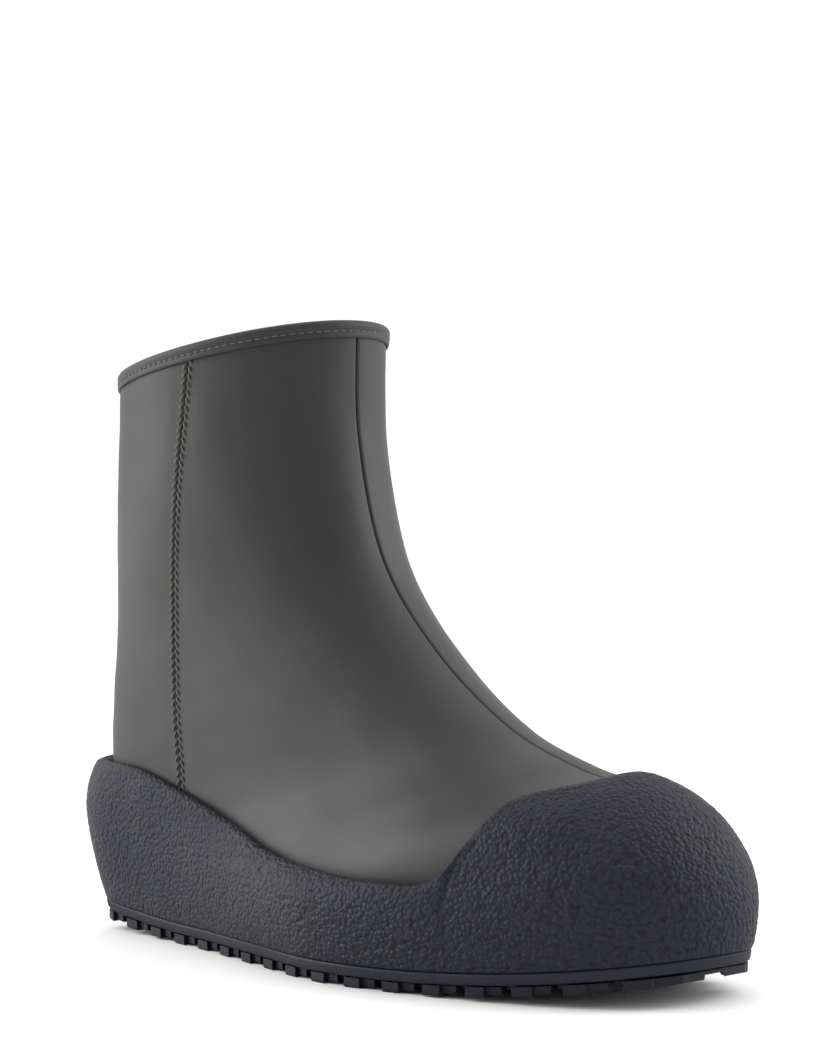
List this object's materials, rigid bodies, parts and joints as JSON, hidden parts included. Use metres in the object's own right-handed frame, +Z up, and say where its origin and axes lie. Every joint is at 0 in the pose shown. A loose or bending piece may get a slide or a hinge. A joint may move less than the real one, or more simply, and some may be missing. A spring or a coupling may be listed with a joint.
{
  "type": "deck boot",
  "caption": "Right ankle boot: leather upper with a closed front seam, inner-side zip, moulded rubber shell with toe cap and heel cup, ribbed rand and lugged outsole.",
  "frame": {"origin": "on the floor, under the middle of the boot's outline", "axes": "+Z up, toe towards -Y, inner (zip) side towards +X, outer side towards -X"},
  "size_m": [0.1204, 0.306, 0.2376],
  "materials": {
    "upper_leather": "matt smooth coated leather, very fine grain",
    "binding_leather": "matt leather, folded edge",
    "pile_lining": "short dense pile",
    "stiffener": "pressed fibre board",
    "shell_rubber": "matt moulded rubber with a pebbled texture",
    "rand_rubber": "matt rubber with fine slanted ribs",
    "outsole_rubber": "matt tread rubber",
    "midsole_foam": "closed-cell foam rubber",
    "cork_filler": "pressed cork",
    "shank_steel": "plain spring steel",
    "footbed_felt": "felt top cover",
    "zip_cloth": "woven zip tape",
    "zip_metal": "dark blackened metal"
  },
  "bodies": {
    "boot": {"lateral_panel": "upper_leather", "medial_panel": "upper_leather", "heel_panel": "upper_leather", "collar_binding": "binding_leather", "vamp_lining": "pile_lining", "heel_lining": "pile_lining", "toe_puff": "stiffener", "heel_counter": "stiffener", "rubber_shell": "shell_rubber", "rand_strip": "rand_rubber", "outsole": "outsole_rubber", "midsole": "midsole_foam", "bottom_filler": "cork_filler", "shank": "shank_steel", "insole_board": "stiffener", "footbed": "footbed_felt", "zip_tape_front": "zip_cloth", "zip_tape_rear": "zip_cloth", "zip_teeth_front": "zip_metal", "zip_teeth_rear": "zip_metal", "zip_top_stop_front": "zip_metal", "zip_top_stop_rear": "zip_metal", "zip_bottom_stop": "zip_metal", "zip_gusset": "binding_leather"},
    "slider": {"zip_slider": "zip_metal"},
    "puller": {"zip_puller": "zip_metal"}
  },
  "joints": [
    {"name": "zip_slide", "type": "slide", "parent": "boot", "child": "slider", "axis": [0, 0, -1], "range_m": [0, 0.123]},
    {"name": "puller_swing", "type": "hinge", "parent": "slider", "child": "puller", "pos_m": [0.05235, 0.07598, 0.21498], "axis": [0, -1, 0], "range_deg": [0, 125]}
  ]
}
